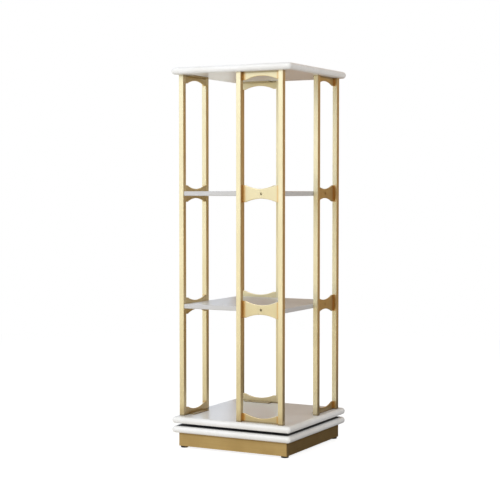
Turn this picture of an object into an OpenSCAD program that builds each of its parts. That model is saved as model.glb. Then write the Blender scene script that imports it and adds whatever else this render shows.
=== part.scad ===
// Rotating bookshelf: a square white carousel of three tiers that turns on a low plinth.
// Sizes are in millimetres, +Z is up, and the turning axis is the Z axis.
// The front faces -Y and the right side faces +X.

/* [Boards] */
// side of the square base, bottom and top boards
board_width = 350; // [320:5:400]
// thickness of the base, bottom and top boards
board_thickness = 18; // [14:1:22]
// how far the boards stand out past the outer faces of the posts
board_overhang = 11; // [8:1:16]
// thickness of the two shelves between the tiers
shelf_thickness = 12; // [10:1:16]
// radius of the eased shelf edges
shelf_edge_radius = 2; // [1:0.5:3]
// radius of the shelf corners seen from above
shelf_corner_radius = 3.5; // [3:0.5:6]

/* [Tiers] */
// clear height of the two lower tiers
tier_height = 286; // [250:1:320]
// extra clear height of the top tier
top_tier_extra = 20; // [0:1:40]

/* [Side panels] */
// width of a side panel over its two posts
panel_width = 135; // [120:1:160]
// side of the square tube of a post
post_size = 14; // [12:0.5:18]
// wall of the square tube
post_wall = 1.2; // [1:0.1:2]
// outer corner radius of the square tube
post_corner_radius = 1.5; // [1:0.1:2]
// thickness of the rail plates
rail_thickness = 4; // [3:0.5:5]
// height of a top or bottom rail at its centre
rail_centre_height = 12; // [10:0.5:16]
// height of a shelf rail at its centre
shelf_rail_centre_height = 25; // [22:0.5:32]
// how far the arched edge of a rail rises over its span
arch_rise = 9.5; // [6:0.5:12]
// flat shoulder between a post and the start of the arch
arch_shoulder = 9; // [6:0.5:14]
// length of the flange that is folded inward from a top or bottom rail
flange_length = 80; // [60:1:90]
// how far the flange reaches in past the rail
flange_depth = 16; // [14:0.5:20]
// thickness of the flange
flange_thickness = 3; // [2:0.5:4]
// corner radius of the flange
flange_corner_radius = 4; // [2:0.5:6]
// distance between the two screws of a flange
flange_screw_spacing = 52; // [40:1:58]
// height of the plug in each end of a post
plug_height = 12; // [8:1:16]
// gap between a plug and the tube wall round it
plug_fit = 0.05; // [0.02:0.01:0.1]

/* [Base] */
// how far the plinth is set in from the edge of the base board
plinth_inset = 15; // [10:1:20]
// height of the plinth boards
plinth_height = 36; // [28:1:45]
// thickness of the plinth boards
plinth_thickness = 6; // [4:0.5:7]
// radius of the outer plinth corners seen from above
plinth_corner_radius = 2.5; // [1.5:0.5:3.5]
// side of the corner blocks inside the plinth
block_size = 40; // [36:1:46]
// cut across the inner corner of a corner block
block_chamfer = 8; // [4:1:10]
// height of a foot under the plinth
foot_height = 5; // [4:0.5:8]
// diameter of a foot
foot_diameter = 20; // [18:0.5:24]
// radius of the lower edge of a foot
foot_edge_radius = 1.5; // [1:0.1:2]
// distance from the outer plinth face to the centre of a foot
foot_inset = 11; // [10:0.5:14]

/* [Turntable] */
// height of the gap between the base board and the turning bottom board
turntable_gap = 7; // [6.5:0.1:8]
// thickness of each turntable ring
ring_thickness = 6; // [5.5:0.1:6.4]
// width of each turntable ring
ring_width = 19; // [17:0.5:22]
// radius of the circle through the ball centres
race_radius = 85; // [75:1:95]
// gap between the two rings
ring_gap = 1.6; // [1.5:0.1:1.8]
// diameter of the balls
ball_diameter = 4; // [3.6:0.1:4.2]
// number of balls
ball_count = 16; // [12:1:24]
// running clearance between a ball and its raceway
race_fit = 0.05; // [0.02:0.01:0.1]
// thickness of the ball cage
cage_thickness = 0.8; // [0.6:0.1:0.9]
// clearance of a ball in its cage pocket
pocket_fit = 0.15; // [0.1:0.01:0.2]
// number of screws in each turntable ring
ring_screw_count = 6; // [4:1:8]
// diameter of the hole in the base board that lets a screwdriver reach the inner ring
access_hole_diameter = 14; // [12:1:16]

/* [Screws] */
// shank diameter of the wood screws
screw_diameter = 3.5; // [3:0.1:4]
// head diameter of the wood screws
screw_head_diameter = 6.6; // [6:0.1:7]
// height of the countersunk part of a screw head
screw_head_height = 1.6; // [1.4:0.1:1.8]
// length of the short screws in the rings, flanges and feet
short_screw_length = 15; // [13:1:18]
// length of the screws that hold the shelves
shelf_screw_length = 30; // [25:1:35]
// length of the screws in the corner blocks
block_screw_length = 26; // [22:1:30]
// depth of the cross recess in a screw head
cross_depth = 1; // [0.6:0.1:1.2]
// width of an arm of the cross recess
cross_width = 0.7; // [0.5:0.1:0.9]
// length of the cross recess from tip to tip
cross_length = 3.2; // [2.6:0.1:3.6]
// clearance of a screw in its pilot hole
screw_fit = 0.05; // [0.02:0.01:0.1]
// clearance of a screw in a through hole
through_fit = 0.35; // [0.3:0.05:0.5]

/* [Hidden] */
$fn = 72;
cut = 1;
quarter = 90;
side_count = 4;

post_outer = board_width / 2 - board_overhang;
post_inner = post_outer - post_size;
shelf_width = 2 * post_inner;
shelf_half = shelf_width / 2;
post_bore = post_size - 2 * post_wall;
panel_right = shelf_half;
panel_left = panel_right - panel_width;
panel_middle = panel_right - panel_width / 2;
rail_span = panel_width - 2 * post_size;
arch_half = rail_span / 2 - arch_shoulder;
arch_radius = (arch_half * arch_half + arch_rise * arch_rise) / (2 * arch_rise);
rail_end_height = rail_centre_height + arch_rise;
shelf_rail_end_height = shelf_rail_centre_height + 2 * arch_rise;

plinth_z = foot_height;
base_z = plinth_z + plinth_height;
base_top = base_z + board_thickness;
bottom_z = base_top + turntable_gap;
bottom_top = bottom_z + board_thickness;
middle_shelf_z = bottom_top + tier_height;
upper_shelf_z = middle_shelf_z + shelf_thickness + tier_height;
top_z = upper_shelf_z + shelf_thickness + tier_height + top_tier_extra;
post_height = top_z - bottom_top;
lower_rail_z = middle_shelf_z + shelf_thickness / 2;
upper_rail_z = upper_shelf_z + shelf_thickness / 2;

plinth_half = board_width / 2 - plinth_inset;
block_outer = plinth_half - plinth_thickness;
block_inner = block_outer - block_size;
foot_reach = plinth_half - foot_inset;
foot_screw_sink = 1;
block_screw_reach = block_inner + block_chamfer + screw_head_diameter;
block_screw_z = base_z + block_screw_length / 2 - block_screw_length;
block_bore_radius = screw_head_diameter / 2 + 1;

ball_radius = ball_diameter / 2;
race_z = base_top + turntable_gap / 2;
outer_ring_inside = race_radius + ring_gap / 2;
outer_ring_outside = outer_ring_inside + ring_width;
inner_ring_outside = race_radius - ring_gap / 2;
inner_ring_inside = inner_ring_outside - ring_width;
outer_screw_radius = outer_ring_inside + ring_width * 0.6;
inner_screw_radius = inner_ring_outside - ring_width * 0.6;
cage_inside = race_radius - cage_thickness / 2;
cage_outside = race_radius + cage_thickness / 2;
cage_rim_gap = 0.4;
cage_height = turntable_gap - 2 * cage_rim_gap;

screw_radius = screw_diameter / 2;
head_radius = screw_head_diameter / 2;
pilot_radius = screw_radius + screw_fit;
through_radius = screw_radius + through_fit;

// node to draw, or all

// Square with rounded corners, centred on the axis.
module rounded_square(width, radius) {
    half = width / 2;
    if (radius <= 0) {
        square([width, width], center = true);
    } else {
        union() {
            square([width, width - 2 * radius], center = true);
            square([width - 2 * radius, width], center = true);
            for (x = [-1, 1], y = [-1, 1])
                translate([x * (half - radius), y * (half - radius)])
                    circle(r = radius);
        }
    }
}

// Section of a board edge, standing on the X axis, with both corners rounded.
module edge_section(thickness, radius) {
    intersection() {
        square([radius, thickness]);
        union() {
            translate([0, radius])
                circle(r = radius);
            if (thickness > 2 * radius) {
                translate([0, thickness - radius])
                    circle(r = radius);
                translate([0, radius])
                    square([radius, thickness - 2 * radius]);
            }
        }
    }
}

// Square board whose edges are rounded to a radius and whose corners turn the same section.
module soft_board(width, thickness, corner, edge) {
    half = width / 2;
    union() {
        linear_extrude(height = thickness)
            rounded_square(width - 2 * edge, corner - edge);
        for (i = [0 : side_count - 1])
            rotate([0, 0, i * quarter]) {
                translate([half - edge, half - corner, 0])
                    rotate([quarter, 0, 0])
                        linear_extrude(height = width - 2 * corner)
                            edge_section(thickness, edge);
                translate([half - corner, half - corner, 0])
                    rotate_extrude(angle = quarter)
                        translate([corner - edge, 0])
                            edge_section(thickness, edge);
            }
    }
}

// Full round board, as used for the base, the turning bottom and the top.
module round_edge_board() {
    soft_board(board_width, board_thickness, board_thickness / 2, board_thickness / 2);
}

// Countersunk wood screw with its head face at z = 0 and its shank pointing down.
module wood_screw(length) {
    difference() {
        union() {
            translate([0, 0, -screw_head_height])
                cylinder(h = screw_head_height, r1 = screw_radius, r2 = head_radius);
            translate([0, 0, -length])
                cylinder(h = length - screw_head_height, r = screw_radius);
        }
        for (turn = [0, quarter])
            rotate([0, 0, turn])
                translate([-cross_length / 2, -cross_width / 2, -cross_depth])
                    cube([cross_length, cross_width, cross_depth + cut]);
    }
}

// Hole for a countersunk screw through a plate whose face is at z = 0.
module sunk_hole(plate) {
    translate([0, 0, -screw_head_height])
        cylinder(h = screw_head_height, r1 = screw_radius, r2 = head_radius);
    translate([0, 0, -plate - cut])
        cylinder(h = plate + cut, r = through_radius);
    translate([0, 0, 0])
        cylinder(h = cut, r = head_radius);
}

// Blind pilot hole for a screw that enters at z = 0 and points down.
module pilot_hole(depth) {
    translate([0, 0, -depth])
        cylinder(h = depth + cut, r = pilot_radius);
}

// Places children on the front panel's side of the object, or on another side by quarter turns.
module on_side(side) {
    rotate([0, 0, side * quarter])
        children();
}

// Copies children to the four sides.
module on_all_sides() {
    for (side = [0 : side_count - 1])
        on_side(side)
            children();
}

// Centres of the four feet and corner blocks, starting at the front right.
module on_corner(corner, reach) {
    rotate([0, 0, corner * quarter])
        translate([reach, -reach, 0])
            children();
}

// Screw places of one turntable ring.
module on_ring(radius, count) {
    for (i = [0 : count - 1])
        rotate([0, 0, (i + 0.5) * 360 / count])
            translate([radius, 0, 0])
                children();
}

// Base: four feet, four corner blocks and four mitred plinth boards carry the fixed board.
module plinth_board(side) {
    color([0.68, 0.56, 0.34])
        on_side(side)
            translate([0, 0, plinth_z])
                linear_extrude(height = plinth_height)
                    intersection() {
                        polygon([
                            [-plinth_half, -plinth_half],
                            [plinth_half, -plinth_half],
                            [block_outer, -block_outer],
                            [-block_outer, -block_outer]
                        ]);
                        rounded_square(2 * plinth_half, plinth_corner_radius);
                    }
}

module corner_block(corner) {
    color([0.8, 0.66, 0.47])
        difference() {
            rotate([0, 0, corner * quarter])
                translate([0, 0, plinth_z])
                    linear_extrude(height = plinth_height)
                        polygon([
                            [block_outer, -block_outer],
                            [block_outer, -block_inner],
                            [block_inner + block_chamfer, -block_inner],
                            [block_inner, -block_inner - block_chamfer],
                            [block_inner, -block_outer]
                        ]);
            on_corner(corner, block_screw_reach) {
                translate([0, 0, plinth_z - cut])
                    cylinder(h = block_screw_z - plinth_z + cut, r = block_bore_radius);
                translate([0, 0, block_screw_z])
                    mirror([0, 0, 1])
                        sunk_hole(plinth_height);
            }
            on_corner(corner, foot_reach)
                translate([0, 0, plinth_z])
                    mirror([0, 0, 1])
                        pilot_hole(short_screw_length);
        }
}

module foot(corner) {
    color([0.06, 0.06, 0.06])
        difference() {
            on_corner(corner, foot_reach)
                rotate_extrude()
                    union() {
                        square([foot_diameter / 2 - foot_edge_radius, foot_height]);
                        translate([0, foot_edge_radius])
                            square([foot_diameter / 2, foot_height - foot_edge_radius]);
                        translate([foot_diameter / 2 - foot_edge_radius, foot_edge_radius])
                            circle(r = foot_edge_radius);
                    }
            on_corner(corner, foot_reach)
                translate([0, 0, foot_screw_sink])
                    mirror([0, 0, 1])
                        sunk_hole(foot_height);
        }
}

module foot_screws() {
    color([0.7, 0.7, 0.72])
        for (corner = [0 : side_count - 1])
            on_corner(corner, foot_reach)
                translate([0, 0, foot_screw_sink])
                    mirror([0, 0, 1])
                        wood_screw(short_screw_length);
}

module block_screws() {
    color([0.7, 0.7, 0.72])
        for (corner = [0 : side_count - 1])
            on_corner(corner, block_screw_reach)
                translate([0, 0, block_screw_z])
                    mirror([0, 0, 1])
                        wood_screw(block_screw_length);
}

module base_board() {
    color([0.95, 0.95, 0.93])
        difference() {
            translate([0, 0, base_z])
                round_edge_board();
            for (corner = [0 : side_count - 1])
                on_corner(corner, block_screw_reach)
                    translate([0, 0, base_z])
                        mirror([0, 0, 1])
                            pilot_hole(block_screw_length / 2);
            on_ring(outer_screw_radius, ring_screw_count)
                translate([0, 0, base_top])
                    pilot_hole(short_screw_length - ring_thickness);
            rotate([0, 0, 180 / ring_screw_count])
                translate([inner_screw_radius, 0, base_z - cut])
                    cylinder(h = board_thickness + 2 * cut, r = access_hole_diameter / 2);
        }
}

// Turntable: two flat rings face each other across a groove of circular section for the balls.
module raceway() {
    translate([0, 0, race_z])
        rotate_extrude()
            translate([race_radius, 0])
                circle(r = ball_radius + race_fit);
}

module flat_ring(outside, inside, low) {
    translate([0, 0, low])
        difference() {
            cylinder(h = ring_thickness, r = outside);
            translate([0, 0, -cut])
                cylinder(h = ring_thickness + 2 * cut, r = inside);
        }
}

module turntable_outer_ring() {
    color([0.78, 0.79, 0.8])
        difference() {
            flat_ring(outer_ring_outside, outer_ring_inside, base_top);
            raceway();
            on_ring(outer_screw_radius, ring_screw_count)
                translate([0, 0, base_top + ring_thickness])
                    sunk_hole(ring_thickness);
        }
}

module outer_ring_screws() {
    color([0.7, 0.7, 0.72])
        on_ring(outer_screw_radius, ring_screw_count)
            translate([0, 0, base_top + ring_thickness])
                wood_screw(short_screw_length);
}

module turntable_inner_ring() {
    color([0.78, 0.79, 0.8])
        difference() {
            flat_ring(inner_ring_outside, inner_ring_inside, bottom_z - ring_thickness);
            raceway();
            on_ring(inner_screw_radius, ring_screw_count)
                translate([0, 0, bottom_z - ring_thickness])
                    mirror([0, 0, 1])
                        sunk_hole(ring_thickness);
        }
}

module inner_ring_screws() {
    color([0.7, 0.7, 0.72])
        on_ring(inner_screw_radius, ring_screw_count)
            translate([0, 0, bottom_z - ring_thickness])
                mirror([0, 0, 1])
                    wood_screw(short_screw_length);
}

module on_ball_circle() {
    for (i = [0 : ball_count - 1])
        rotate([0, 0, i * 360 / ball_count])
            translate([race_radius, 0, race_z])
                children();
}

module bearing_balls() {
    color([0.85, 0.86, 0.88])
        on_ball_circle()
            sphere(r = ball_radius);
}

module ball_cage() {
    color([0.15, 0.15, 0.16])
        difference() {
            translate([0, 0, race_z - cage_height / 2])
                difference() {
                    cylinder(h = cage_height, r = cage_outside);
                    translate([0, 0, -cut])
                        cylinder(h = cage_height + 2 * cut, r = cage_inside);
                }
            on_ball_circle()
                sphere(r = ball_radius + pocket_fit);
        }
}

// Carousel boards.
module bottom_board() {
    color([0.95, 0.95, 0.93])
        difference() {
            translate([0, 0, bottom_z])
                round_edge_board();
            on_ring(inner_screw_radius, ring_screw_count)
                translate([0, 0, bottom_z])
                    mirror([0, 0, 1])
                        pilot_hole(short_screw_length - ring_thickness);
            on_flange_screws()
                translate([0, 0, bottom_top])
                    pilot_hole(short_screw_length - flange_thickness);
        }
}

module top_board() {
    color([0.95, 0.95, 0.93])
        difference() {
            translate([0, 0, top_z])
                round_edge_board();
            on_flange_screws()
                translate([0, 0, top_z])
                    mirror([0, 0, 1])
                        pilot_hole(short_screw_length - flange_thickness);
        }
}

module shelf(low) {
    color([0.93, 0.93, 0.91])
        difference() {
            translate([0, 0, low])
                soft_board(shelf_width, shelf_thickness, shelf_corner_radius, shelf_edge_radius);
            on_all_sides()
                translate([panel_middle, -shelf_half, low + shelf_thickness / 2])
                    rotate([quarter, 0, 0])
                        pilot_hole(shelf_screw_length - rail_thickness);
        }
}

// Side panels: two square tubes joined by a top rail, two shelf rails and a bottom rail.
module post_section() {
    difference() {
        rounded_square(post_size, post_corner_radius);
        square([post_bore, post_bore], center = true);
    }
}

module post(side, low_x) {
    color([0.9, 0.82, 0.58])
        on_side(side)
            translate([low_x + post_size / 2, -shelf_half - post_size / 2, bottom_top])
                linear_extrude(height = post_height)
                    post_section();
}

module left_post(side) {
    post(side, panel_left);
}

module right_post(side) {
    post(side, panel_right - post_size);
}

// Circle that cuts the arched edge out of a rail, with its crown at height zero.
module arch_cut() {
    translate([0, -arch_radius])
        circle(r = arch_radius);
}

// Rail plate on its back face, centred on the panel, with z = 0 at the fixed board.
module end_rail_shape() {
    difference() {
        translate([-rail_span / 2, -rail_end_height])
            square([rail_span, rail_end_height]);
        translate([0, -rail_centre_height])
            arch_cut();
    }
}

module shelf_rail_shape() {
    difference() {
        square([rail_span, shelf_rail_end_height], center = true);
        translate([0, -shelf_rail_centre_height / 2])
            arch_cut();
        mirror([0, 1])
            translate([0, -shelf_rail_centre_height / 2])
                arch_cut();
    }
}

module rail_plate() {
    translate([panel_middle, -shelf_half, 0])
        rotate([quarter, 0, 0])
            linear_extrude(height = rail_thickness)
                children();
}

module flange_shape() {
    half = flange_length / 2;
    union() {
        translate([-half, -rail_thickness])
            square([flange_length, rail_thickness + flange_depth - flange_corner_radius]);
        translate([-half + flange_corner_radius, -rail_thickness])
            square([flange_length - 2 * flange_corner_radius, rail_thickness + flange_depth]);
        for (x = [-1, 1])
            translate([x * (half - flange_corner_radius), flange_depth - flange_corner_radius])
                circle(r = flange_corner_radius);
    }
}

// Screw places of the flanges, on all four sides.
module on_flange_screws() {
    on_all_sides()
        flange_screw_places()
            children();
}

module flange_screw_places() {
    for (x = [-1, 1])
        translate([panel_middle + x * flange_screw_spacing / 2, -shelf_half + flange_depth / 2, 0])
            children();
}

// Top rail hanging from z = 0 with its flange against the board above.
module flanged_rail() {
    difference() {
        union() {
            rail_plate()
                end_rail_shape();
            translate([panel_middle, -shelf_half, -flange_thickness])
                linear_extrude(height = flange_thickness)
                    flange_shape();
        }
        flange_screw_places()
            translate([0, 0, -flange_thickness])
                mirror([0, 0, 1])
                    sunk_hole(flange_thickness);
    }
}

module top_rail(side) {
    color([0.88, 0.8, 0.55])
        on_side(side)
            translate([0, 0, top_z])
                flanged_rail();
}

module bottom_rail(side) {
    color([0.88, 0.8, 0.55])
        on_side(side)
            translate([0, 0, bottom_top])
                mirror([0, 0, 1])
                    flanged_rail();
}

module shelf_rail(side, level) {
    color([0.88, 0.8, 0.55])
        on_side(side)
            translate([0, 0, level])
                difference() {
                    rail_plate()
                        shelf_rail_shape();
                    translate([panel_middle, -shelf_half - rail_thickness, 0])
                        rotate([quarter, 0, 0])
                            sunk_hole(rail_thickness);
                }
}

module post_end_plugs() {
    width = post_bore - 2 * plug_fit;
    color([0.08, 0.08, 0.08])
        on_all_sides()
            for (x = [panel_left, panel_right - post_size], z = [bottom_top, top_z - plug_height])
                translate([x + (post_size - width) / 2, -shelf_half - (post_size + width) / 2, z])
                    cube([width, width, plug_height]);
}

module shelf_screws() {
    color([0.75, 0.6, 0.35])
        on_all_sides()
            for (level = [lower_rail_z, upper_rail_z])
                translate([panel_middle, -shelf_half - rail_thickness, level])
                    rotate([quarter, 0, 0])
                        wood_screw(shelf_screw_length);
}

module top_flange_screws() {
    color([0.7, 0.7, 0.72])
        on_flange_screws()
            translate([0, 0, top_z - flange_thickness])
                mirror([0, 0, 1])
                    wood_screw(short_screw_length);
}

module bottom_flange_screws() {
    color([0.7, 0.7, 0.72])
        on_flange_screws()
            translate([0, 0, bottom_top + flange_thickness])
                wood_screw(short_screw_length);
}

base_board();
plinth_board(0);  // plinth_front
plinth_board(1);  // plinth_right
plinth_board(2);  // plinth_back
plinth_board(3);  // plinth_left
corner_block(0);  // corner_block_front_right
corner_block(1);  // corner_block_back_right
corner_block(2);  // corner_block_back_left
corner_block(3);  // corner_block_front_left
foot(0);  // foot_front_right
foot(1);  // foot_back_right
foot(2);  // foot_back_left
foot(3);  // foot_front_left
block_screws();
foot_screws();
turntable_outer_ring();
outer_ring_screws();
ball_cage();
bearing_balls();
turntable_inner_ring();
inner_ring_screws();
bottom_board();
shelf(middle_shelf_z);  // middle_shelf
shelf(upper_shelf_z);  // upper_shelf
top_board();
left_post(0);  // front_left_post
right_post(0);  // front_right_post
top_rail(0);  // front_top_rail
shelf_rail(0, upper_rail_z);  // front_upper_rail
shelf_rail(0, lower_rail_z);  // front_lower_rail
bottom_rail(0);  // front_bottom_rail
left_post(1);  // right_left_post
right_post(1);  // right_right_post
top_rail(1);  // right_top_rail
shelf_rail(1, upper_rail_z);  // right_upper_rail
shelf_rail(1, lower_rail_z);  // right_lower_rail
bottom_rail(1);  // right_bottom_rail
left_post(2);  // back_left_post
right_post(2);  // back_right_post
top_rail(2);  // back_top_rail
shelf_rail(2, upper_rail_z);  // back_upper_rail
shelf_rail(2, lower_rail_z);  // back_lower_rail
bottom_rail(2);  // back_bottom_rail
left_post(3);  // left_left_post
right_post(3);  // left_right_post
top_rail(3);  // left_top_rail
shelf_rail(3, upper_rail_z);  // left_upper_rail
shelf_rail(3, lower_rail_z);  // left_lower_rail
bottom_rail(3);  // left_bottom_rail
post_end_plugs();
shelf_screws();
top_flange_screws();
bottom_flange_screws();
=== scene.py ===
# %% [markdown]
# # A rotating bookshelf
# A square white carousel of three open tiers turns on a ball bearing over a low plinth. Four
# narrow gold side panels, set like the sails of a pinwheel, carry the shelves and the top board.
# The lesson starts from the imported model, which is loaded as a fixed frame in metres. Everything
# made here takes its place from that frame, so the looks can never drift from the construction.

# %% Load the frame
import math

import bmesh
import bpy
from mathutils import Matrix, Vector


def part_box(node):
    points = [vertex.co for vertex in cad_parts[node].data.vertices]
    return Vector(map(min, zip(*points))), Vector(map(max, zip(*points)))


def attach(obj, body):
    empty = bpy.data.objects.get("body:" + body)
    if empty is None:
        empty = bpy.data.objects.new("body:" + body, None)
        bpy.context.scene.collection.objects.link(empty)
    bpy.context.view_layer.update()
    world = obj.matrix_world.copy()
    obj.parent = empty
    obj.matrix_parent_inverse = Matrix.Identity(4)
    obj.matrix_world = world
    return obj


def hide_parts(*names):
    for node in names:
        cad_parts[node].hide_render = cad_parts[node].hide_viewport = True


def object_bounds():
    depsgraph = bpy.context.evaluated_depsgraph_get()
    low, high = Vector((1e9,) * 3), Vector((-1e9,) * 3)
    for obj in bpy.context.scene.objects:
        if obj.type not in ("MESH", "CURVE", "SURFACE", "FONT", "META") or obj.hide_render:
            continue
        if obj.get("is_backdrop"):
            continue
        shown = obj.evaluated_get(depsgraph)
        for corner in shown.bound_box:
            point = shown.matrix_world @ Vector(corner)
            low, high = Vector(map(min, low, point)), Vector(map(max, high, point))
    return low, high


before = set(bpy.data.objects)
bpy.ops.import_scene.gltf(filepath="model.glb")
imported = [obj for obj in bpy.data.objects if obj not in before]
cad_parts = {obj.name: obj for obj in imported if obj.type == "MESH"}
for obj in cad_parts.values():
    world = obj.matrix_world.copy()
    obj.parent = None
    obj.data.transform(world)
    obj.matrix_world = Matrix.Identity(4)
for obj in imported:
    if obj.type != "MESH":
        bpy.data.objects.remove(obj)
cad_low, cad_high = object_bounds()
cad_size = cad_high - cad_low


def in_millimetres(lengths):
    """Lengths in millimetres, rounded for printing."""
    return [round(1000 * length, 1) for length in lengths]


print("construction:", in_millimetres(cad_size), "mm")

# %% [markdown]
# ## Camera
# The photograph looks at the corner between the front and the right side, a little to the front,
# from about chest height and nearly level. A long lens far away keeps the upright edges almost
# parallel. The camera could be aimed at a target, but its place and two angles, fitted to the
# corners of the boards, say the same with plain numbers.

# %% Camera
picture_pixels = 500
focal_pixels = 1345
sensor_width = 36
camera_turn = math.radians(27.98)
camera_pitch = math.radians(-2.67)
camera_distance = 3.613
camera_sideways = -0.0275
camera_height = 0.6906
quarter_turn = math.pi / 2

camera_data = bpy.data.cameras.new("camera")
camera_data.sensor_width = sensor_width
camera_data.lens = sensor_width * focal_pixels / picture_pixels
camera = bpy.data.objects.new("camera", camera_data)
bpy.context.scene.collection.objects.link(camera)
to_right = Vector((math.cos(camera_turn), math.sin(camera_turn), 0))
to_camera = Vector((math.sin(camera_turn), -math.cos(camera_turn), 0))
camera.location = camera_distance * to_camera + camera_sideways * to_right
camera.location.z = camera_height
camera.rotation_euler = (quarter_turn + camera_pitch, 0, camera_turn)
bpy.context.scene.camera = camera
print("lens:", round(camera_data.lens, 1), "mm")

# %% [markdown]
# ## Small helpers for materials
# A finish is a small network of nodes. Written out in full, each network would hide its idea
# behind dozens of lines, so a few helpers add a node, feed its sockets and hand back its output.
# Colours are written as they look on a screen, because they are easier to judge that way, and
# turned into the linear light that a shader expects.

# %% Helpers for node trees
# every finish under its name, which is also the name of its slot
materials = {}


def feed(tree, socket, value):
    """Links a socket to another one, or sets its number or colour."""
    if isinstance(value, bpy.types.NodeSocket):
        tree.links.new(value, socket)
    else:
        socket.default_value = value


def start_material(name):
    """A new material with its tree, its shader and the coordinates that its patterns read."""
    material = bpy.data.materials.new(name)
    material.use_nodes = True
    tree = material.node_tree
    place = tree.nodes.new("ShaderNodeTexCoord").outputs["Object"]
    return material, tree, tree.nodes["Principled BSDF"], place


def calculate(tree, operation, first, second=0.0, third=0.0):
    """One step of arithmetic."""
    node = tree.nodes.new("ShaderNodeMath")
    node.operation = operation
    for socket, value in zip(node.inputs, (first, second, third)):
        feed(tree, socket, value)
    return node.outputs[0]


def stretch(tree, value, from_low, from_high, to_low, to_high):
    """Moves a value from one range to another, softly at both ends, and clamps it there."""
    node = tree.nodes.new("ShaderNodeMapRange")
    node.interpolation_type = "SMOOTHSTEP"
    for socket, number in zip(node.inputs, (value, from_low, from_high, to_low, to_high)):
        feed(tree, socket, number)
    return node.outputs[0]


# %% Helpers for colour and relief
def blend(tree, factor, first, second):
    """A colour between two colours."""
    node = tree.nodes.new("ShaderNodeMix")
    node.data_type = "RGBA"
    feed(tree, node.inputs[0], factor)
    feed(tree, node.inputs[6], first)
    feed(tree, node.inputs[7], second)
    return node.outputs[2]


def bump(tree, height, distance, under=None):
    """A fine relief, given by the height in metres that a value of 1 stands for."""
    node = tree.nodes.new("ShaderNodeBump")
    feed(tree, node.inputs["Height"], height)
    node.inputs["Distance"].default_value = distance
    if under is not None:
        feed(tree, node.inputs["Normal"], under)
    return node.outputs[0]


def colour(red, green, blue):
    """A colour written as it looks on a screen, from 0 to 255, turned into linear light."""
    parts = []
    for value in (red, green, blue):
        part = value / 255
        parts.append(part / 12.92 if part <= 0.04045 else ((part + 0.055) / 1.055) ** 2.4)
    return (*parts, 1.0)


# %% [markdown]
# ## Patterns and masks
# A pattern, such as noise or cells, gives a finish its grain. All patterns read Object
# coordinates, which are metres in the frame, so a scale of 1000 gives a grain of about a
# millimetre on every piece. A mask measures where a point lies, such as its height or its
# distance from a rim, and finds the places that hands reach and the places of painted shade. Both
# could be painted on an image, but then each piece would have to be unwrapped first.

# %% Helpers for patterns
def noise(tree, place, scale, detail=2.0):
    """Cloudy noise between 0 and 1."""
    node = tree.nodes.new("ShaderNodeTexNoise")
    feed(tree, node.inputs["Vector"], place)
    feed(tree, node.inputs["Scale"], scale)
    feed(tree, node.inputs["Detail"], detail)
    return node.outputs["Fac"]


def cells(tree, place, scale):
    """A random number for each small cell, as for flakes in a lacquer."""
    node = tree.nodes.new("ShaderNodeTexVoronoi")
    feed(tree, node.inputs["Vector"], place)
    feed(tree, node.inputs["Scale"], scale)
    parts = tree.nodes.new("ShaderNodeSeparateColor")
    feed(tree, parts.inputs[0], node.outputs["Color"])
    return parts.outputs[0]


def scaled(tree, place, factors):
    """Coordinates stretched along the axes, for grain and brush marks."""
    node = tree.nodes.new("ShaderNodeMapping")
    feed(tree, node.inputs["Vector"], place)
    node.inputs["Scale"].default_value = factors
    return node.outputs[0]


# %% Helpers for masks
def coordinates(tree, place):
    """The x, y and z of a point."""
    parts = tree.nodes.new("ShaderNodeSeparateXYZ")
    feed(tree, parts.inputs[0], place)
    return tuple(parts.outputs)


def height_of(tree, place):
    """The height of a point."""
    return coordinates(tree, place)[2]


def off_middle(tree, value, middle):
    """How far a value lies from a middle, to either side."""
    return calculate(tree, "ABSOLUTE", calculate(tree, "SUBTRACT", value, middle))


def counted_from(start, distances):
    """The places that lie at some distances from a start."""
    return [start + distance for distance in distances]


def diagonal(tree, first, second):
    """The length of the diagonal over two lengths that are square to each other."""
    square = calculate(tree, "MULTIPLY", first, first)
    return calculate(tree, "SQRT", calculate(tree, "MULTIPLY_ADD", second, second, square))


def axis_distance(tree, place):
    """How far a point lies from the upright axis in the middle."""
    x, y = coordinates(tree, place)[:2]
    return diagonal(tree, x, y)


def rim_distance(tree, place, half_width):
    """How far a point lies inside the edge of a square board that is centred on the axis."""
    x, y = coordinates(tree, place)[:2]
    furthest = calculate(tree, "MAXIMUM", calculate(tree, "ABSOLUTE", x), calculate(tree, "ABSOLUTE", y))
    return calculate(tree, "SUBTRACT", half_width, furthest)


# a mesh attribute that is 1 on the rounded rims of a new piece
rim_attribute = "rim"


def rim_mark(tree):
    """1 on a rounded rim, 0 elsewhere."""
    node = tree.nodes.new("ShaderNodeAttribute")
    node.attribute_name = rim_attribute
    return node.outputs["Fac"]


# %% [markdown]
# ## White lacquer
# The boards are fibreboard, sprayed white all round, with a satin gloss. A plain white with one
# roughness would look like plastic. Lacquer has a very fine orange peel, cloudy changes of gloss
# where the spray overlapped, and edges that hands have polished and greyed a little. The two
# faces that look at each other across the turning gap get a matt grey, which is painted shade, so
# the gap reads as one dark line. A mask made of the height and of the distance from the rim finds
# them. The two shelves are square-edged. Their white is darker than the boards' white and their
# edges are darker still, which is painted shade.

# %% White lacquer
board_half = cad_size.x / 2
shelf_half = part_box("upper_shelf")[1].x
gap_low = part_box("base_board")[1].z
gap_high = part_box("bottom_board")[0].z
bullnose = (gap_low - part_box("base_board")[0].z) / 2
# painted shade in the turning gap: where it fades out, and its matt grey
gap_shade_fade = (0.0002, 0.0006)
gap_painted_shade = colour(98, 98, 100)
handled_width = 0.012
handled_white = colour(222, 220, 214)
# how far in from the rim the painted shade on the shelves' edges reaches
painted_edge_depth = (0.0004, 0.0016)
lacquer_peel = 0.00002
lacquer_waves = 0.00006


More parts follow.
